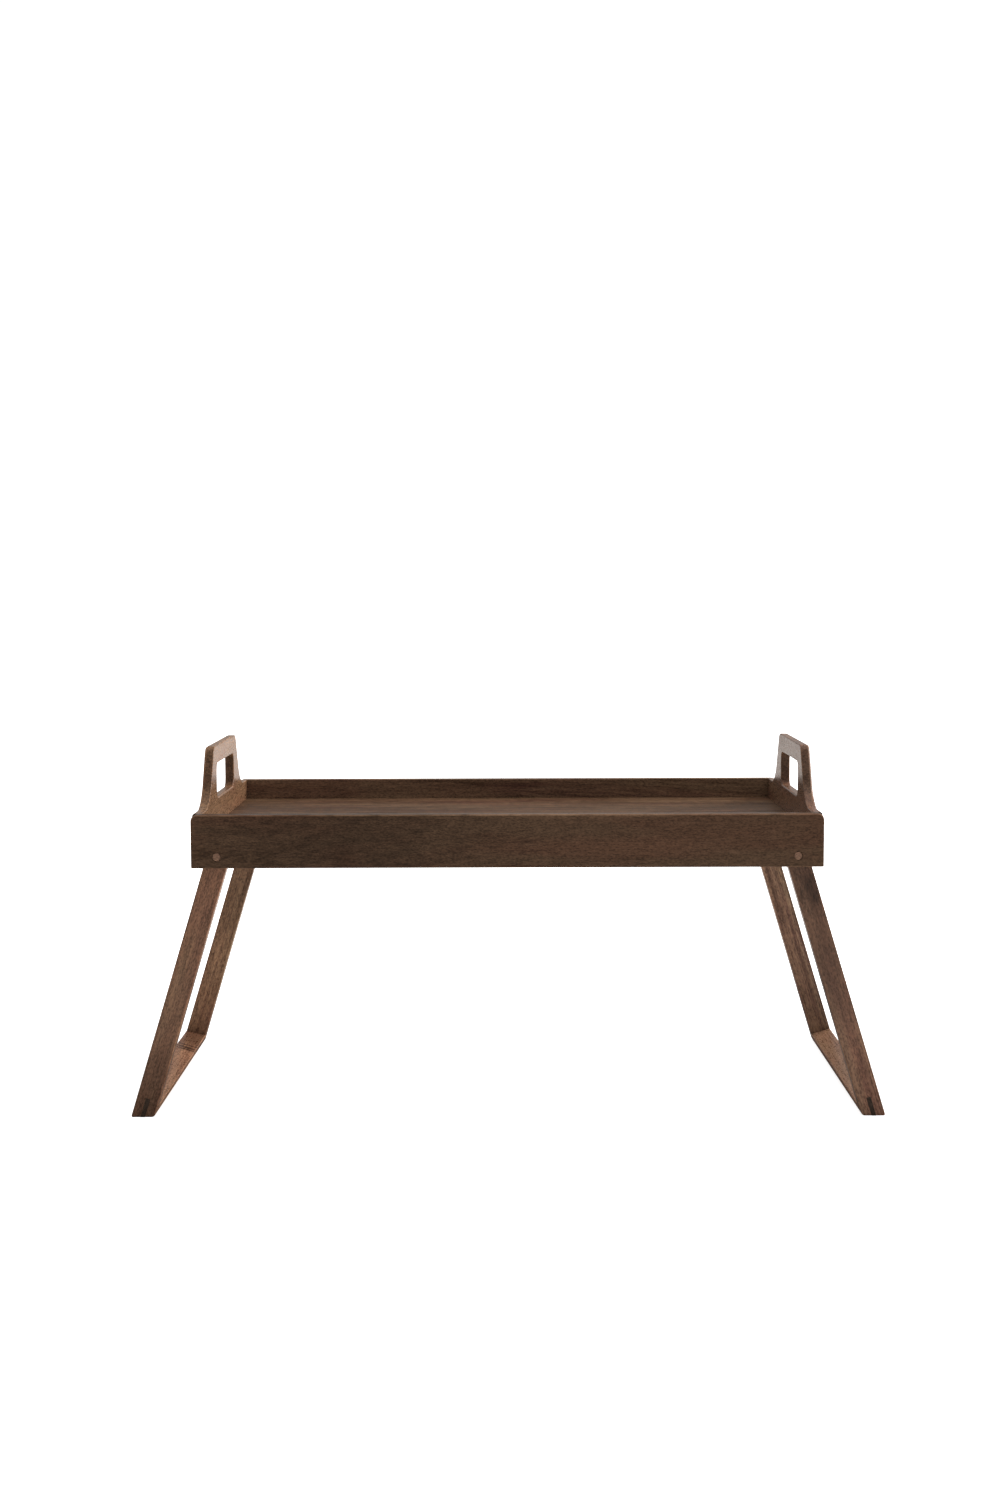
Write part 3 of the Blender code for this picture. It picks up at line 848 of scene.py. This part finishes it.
firstLeg = makeLeg()
firstKey = makeKey("firstKey")
cutFlat(firstKey, groundPoint, downhill)
easeEdges(firstKey, keys["edge"], ((lambda mid, way: True, 1),), 2)
firstCross = makeCrosspiece()
slope = math.sqrt(0.5)                   # the key's grain runs across its corner
for side, sideName in ((-1, "left"), (1, "right")):
    body = sideName + "_leg_frame"
    for end, endName in ((-1, "front"), (1, "back")):
        label = sideName + "_" + endName
        leg = copyOf(firstLeg, "leg" + sideName.title() + endName.title())
        key = copyOf(firstKey, "key" + sideName.title() + endName.title())
        if end * side < 0:
            mirrorOver(leg, 1)
            mirrorOver(key, 1)
        standUp(leg, side)
        standUp(key, side)
        middle = openFrame(side) @ Vector((0, end * side * (legIn + legOut) / 2, -legLength / 2))
        axes = boardAxes(side, (0, 0, -1), (1, 0, 0), (0, -1, 0))
        finishPiece(leg, body, label + "_leg",
                    walnut(label + "LegWalnut", middle, axes, legs["looks"][label]))
        middle = openFrame(side) @ Vector((0, end * side * (legOut - keys["middleIn"]),
                                           keys["middleIn"] - legLength))
        axes = boardAxes(side, (0, -slope, slope), (1, 0, 0), (0, slope, slope))
        finishPiece(key, body, label + "_corner_key",
                    walnut(label + "KeyWood", middle, axes, keys["look"]))
    cross = copyOf(firstCross, "cross" + sideName.title())
    standUp(cross, side)
    axes = boardAxes(side, (0, 1, 0), (1, 0, 0), (0, 0, -1))
    finishPiece(cross, body, sideName + "_crosspiece",
                walnut(sideName + "CrossWalnut", openFrame(side) @ groundPoint, axes,
                       legs["crossLooks"][sideName]))
for spare in (firstLeg, firstKey, firstCross):
    bpy.data.objects.remove(spare, do_unlink=True)
print("leg frames made")


# pivots

pivots = {
    "dowelEdge": 0.0006,
    "recess": 0.0003,
    "washerEdge": 0.0002,
    "washerPlay": 0.0003,
    "look": {
        "tone": (118, 92, 77), "heart": (0, 0.004, 0.006), "shift": (11.5, 0, 0), "ringWidth": 0.002,
        "wander": 0.003, "streaks": 0.3, "endDark": 0.0, "rough": 0.5,
    },
    "nylon": {"dark": (34, 30, 27), "pale": (46, 41, 37), "grain": 2500, "rough": 0.5, "roughSwing": 0.15},
}


def makeNylon():
    material = bpy.data.materials.new("washerNylon")
    material.use_nodes = True
    tree = material.node_tree
    look = pivots["nylon"]
    coordinates = addNode(tree, "ShaderNodeTexCoord")
    grain = noise(tree, coordinates.outputs["Object"], [look["grain"]] * 3, 2.0, 0.6)
    colour = blendColours(tree, grain, linear(look["dark"]) + [1], linear(look["pale"]) + [1])
    bump = addNode(tree, "ShaderNodeBump")
    feed(tree, bump, Height=grain, Strength=0.2, Distance=0.0001)
    feed(tree, tree.nodes["Principled BSDF"], Base_Color=colour, Normal=bump.outputs[0],
         Roughness=plus(tree, times(tree, grain, look["roughSwing"]), look["rough"]))
    return material


def makeDowel(name, x):                  # its outer end a little below the rail's face
    dowel = addBar(name, dowelRadius, dowelLow.y, dowelHigh.y - pivots["recess"], x, pivot.z)
    roundCorner(dowel, lambda mid, way: abs(way.y) < 0.5, pivots["dowelEdge"], 3)
    return dowel


def makeWasher(name, x):
    washer = addBar(name, (washerHigh.x - washerLow.x) / 2, washerLow.y, washerHigh.y, x, pivot.z)
    roundCorner(washer, lambda mid, way: abs(way.y) < 0.5, pivots["washerEdge"], 2)
    cutOut(washer, addBar("eye", dowelRadius + pivots["washerPlay"], washerLow.y - overshoot,
                          washerHigh.y + overshoot, x, pivot.z))
    return washer


nylon = makeNylon()
for side, sideName in ((-1, "left"), (1, "right")):
    for end, endName in ((-1, "front"), (1, "back")):
        label = sideName + "_" + endName
        x = side * pivot.x
        dowel = makeDowel("dowel" + sideName.title() + endName.title(), x)
        washer = makeWasher("washer" + sideName.title() + endName.title(), x)
        if end < 0:
            mirrorOver(dowel, 1)
            mirrorOver(washer, 1)
        middle = (x, end * (dowelLow.y + dowelHigh.y) / 2, pivot.z)
        finishPiece(dowel, "tray", label + "_pivot_dowel",
                    walnut(label + "DowelWood", middle, crosswiseFlat, pivots["look"]))
        finishPiece(washer, "tray", label + "_spacer_washer", nylon)
print("pivots made")


# floor, light and camera

studio = {
    "floorSize": 12.0,
    "floorRough": 0.9,
    "floorGloss": 0.1,
    "floorColour": (0.75, 0.75, 0.75, 1),
    "floorShadeMirrored": (0.12, 0.12, 0.12, 1),      # painted shade: the floor close to the table darker, only where the wood mirrors it
    "floorGlow": 0.7,                            # warm light from the floor further off
    "glowColour": (1, 0.82, 0.7, 1),
    "glowFrom": 0.37,
    "glowFull": 0.75,
    "floorSeen": 0.85,
    "airSeen": 1.05,
    "airMirrored": 0.55,
    "airDim": 0.18,
    "airBright": 0.95,
    "airFrom": -0.5,                             # share of the bright side at which the air is dim
    "airTo": 0.9,
    "brightSide": (0.25, 0.45, 0.86),
    "softboxes": {
        "overheadSoftbox": {"place": (0.3, 0.3, 2.4), "aim": (0, 0, 0.27), "size": 1.8, "watts": 8},
        "keySoftbox": {"place": (2.4, 0.7, 1.3), "aim": (0, 0, 0.27), "size": 1.2, "watts": 70},
    },
}
lens = {
    "place": (0.0027, -2.1135, 0.5152),
    "turn": (85.279, 0.1933, 0.2557),            # degrees
    "length": 49.387,
    "film": 36.0,
}
white = (1, 1, 1, 1)


def makeAir():                           # white to look at; as light it is dim in front and bright behind
    world = bpy.data.worlds.new("studioAir")
    world.use_nodes = True
    tree = world.node_tree
    direction = addNode(tree, "ShaderNodeTexCoord").outputs["Generated"]
    tilt = vectors(tree, "DOT_PRODUCT", direction, studio["brightSide"])
    light = addNode(tree, "ShaderNodeMapRange", interpolation_type="SMOOTHSTEP")
    feed(tree, light, Value=tilt, n1=studio["airFrom"], n2=studio["airTo"],
         n3=studio["airDim"], n4=studio["airBright"])
    path = addNode(tree, "ShaderNodeLightPath")
    given = darkened(tree, light.outputs["Result"], path.outputs["Is Glossy Ray"], 1 - studio["airMirrored"])
    strength = addNode(tree, "ShaderNodeMix", data_type="FLOAT")
    feed(tree, strength, n0=path.outputs["Is Camera Ray"], n2=given, n3=studio["airSeen"])
    feed(tree, tree.nodes["Background"], Color=white, Strength=strength.outputs[0])
    bpy.context.scene.world = world


def makePaint():
    paint = bpy.data.materials.new("studioPaint")
    paint.use_nodes = True
    tree = paint.node_tree
    path = addNode(tree, "ShaderNodeLightPath")
    seen, mirrored = path.outputs["Is Camera Ray"], path.outputs["Is Glossy Ray"]
    away = vectors(tree, "LENGTH", addNode(tree, "ShaderNodeTexCoord").outputs["Object"])
    far = ramp(tree, away, studio["glowFrom"], studio["glowFull"])
    # painted shadow: the floor near the table is darkened only for reflected rays, standing in for the
    # table's shade on it
    shadeNear = times(tree, minus(tree, 1.0, far), mirrored)
    glow = plus(tree, times(tree, seen, studio["floorSeen"]), times(tree, far, studio["floorGlow"]))
    feed(tree, tree.nodes["Principled BSDF"], Roughness=studio["floorRough"],
         Specular_IOR_Level=studio["floorGloss"],
         Base_Color=blendColours(tree, shadeNear, studio["floorColour"], studio["floorShadeMirrored"]),
         Emission_Color=blendColours(tree, seen, studio["glowColour"], white), Emission_Strength=glow)
    return paint


def makeStudio():
    startClean()
    bpy.ops.mesh.primitive_plane_add(size=studio["floorSize"], location=(0, 0, 0))
    ground = named("studioFloor")
    ground.data.materials.append(makePaint())
    makeAir()
    for name, box in studio["softboxes"].items():
        bpy.ops.object.light_add(type="AREA", location=box["place"])
        softbox = named(name)
        softbox.data.size = box["size"]
        softbox.data.energy = box["watts"]
        softbox.rotation_euler = (Vector(box["aim"]) - softbox.location).to_track_quat("-Z", "Y").to_euler()


def makeCamera():
    startClean()
    turn = [math.radians(angle) for angle in lens["turn"]]
    bpy.ops.object.camera_add(location=lens["place"], rotation=turn)
    camera = bpy.context.object
    camera.data.sensor_width = lens["film"]
    camera.data.lens = lens["length"]
    bpy.context.scene.camera = camera


makeStudio()
makeCamera()
bpy.context.scene.view_settings.view_transform = "Standard"
print("studio made")
